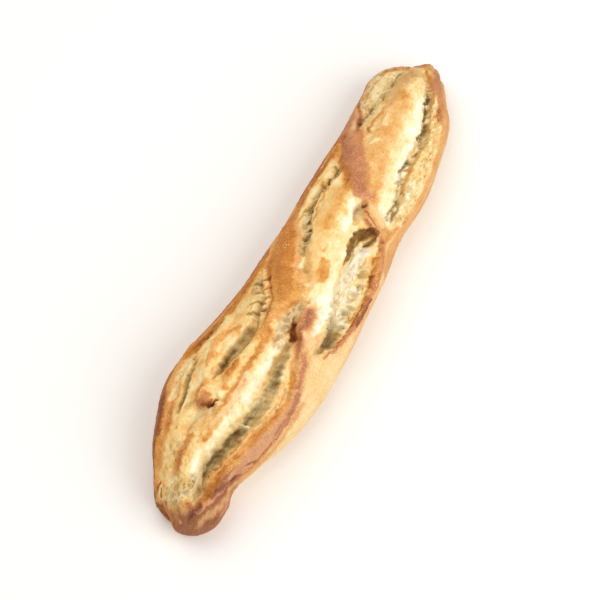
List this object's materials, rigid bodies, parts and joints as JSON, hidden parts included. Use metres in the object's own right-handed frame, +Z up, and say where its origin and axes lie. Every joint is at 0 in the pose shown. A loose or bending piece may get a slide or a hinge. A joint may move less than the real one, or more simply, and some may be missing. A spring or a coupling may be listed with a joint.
{
  "type": "baguette",
  "caption": "Short crusty baguette, torn open along slanting cuts in its crown, lying on its flat baked base.",
  "frame": {"origin": "on the surface that the loaf rests on, under the middle of its box", "axes": "+X along the loaf from its narrow nose to its blunt head, +Z up through its crown"},
  "size_m": [0.347, 0.0996, 0.0612],
  "materials": {
    "crust": "baked bread crust, golden to red-brown, dry and matte, with pale open crumb in the torn cuts"
  },
  "bodies": {
    "root": {"loaf": "crust"}
  },
  "joints": []
}
